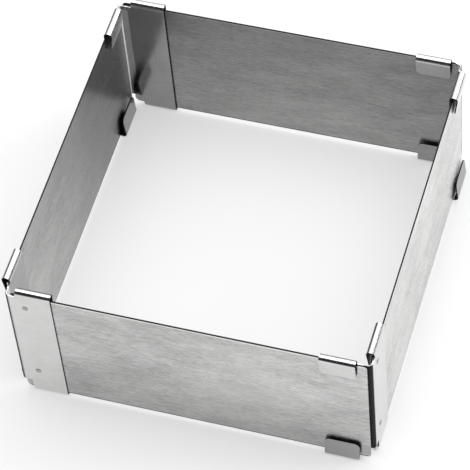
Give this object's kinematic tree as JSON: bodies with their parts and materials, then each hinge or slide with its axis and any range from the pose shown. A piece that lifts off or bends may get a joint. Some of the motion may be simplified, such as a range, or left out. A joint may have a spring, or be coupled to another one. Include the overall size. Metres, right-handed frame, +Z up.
{
  "type": "adjustable cake frame",
  "caption": "Bottomless rectangular baking frame of brushed sheet steel whose walls slide in rolled corner clips, so that its width and depth adjust.",
  "frame": {"origin": "on the surface that the frame stands on, in the middle of its outline", "axes": "+X from the left wall to the right wall, +Y from the front wall to the back wall, +Z up"},
  "size_m": [0.1994, 0.2048, 0.0902],
  "materials": {
    "wall_steel": "stainless sheet brushed along its length",
    "bracket_steel": "smooth bright rolled stainless sheet",
    "weld_steel": "slightly dulled spot-weld mark"
  },
  "bodies": {
    "front": {"front_wall": "wall_steel", "front_left_bracket": "bracket_steel", "front_left_upper_weld": "weld_steel", "front_left_lower_weld": "weld_steel"},
    "right": {"right_wall": "wall_steel", "front_right_bracket": "bracket_steel", "front_right_upper_weld": "weld_steel", "front_right_lower_weld": "weld_steel"},
    "back": {"back_wall": "wall_steel", "back_right_bracket": "bracket_steel", "back_right_upper_weld": "weld_steel", "back_right_lower_weld": "weld_steel"},
    "left": {"left_wall": "wall_steel", "back_left_bracket": "bracket_steel", "back_left_upper_weld": "weld_steel", "back_left_lower_weld": "weld_steel"}
  },
  "joints": [
    {"name": "width_slide", "type": "slide", "parent": "front", "child": "right", "axis": [1, 0, 0], "range_m": [-0.1415, 0.014]},
    {"name": "depth_slide", "type": "slide", "parent": "right", "child": "back", "axis": [0, 1, 0], "range_m": [-0.147, 0.009]},
    {"name": "left_slide", "type": "slide", "parent": "front", "child": "left", "axis": [0, 1, 0], "range_m": [-0.147, 0.009]}
  ],
  "couplings": [
    {"joint": "left_slide", "follows": "depth_slide", "ratio": 1}
  ]
}
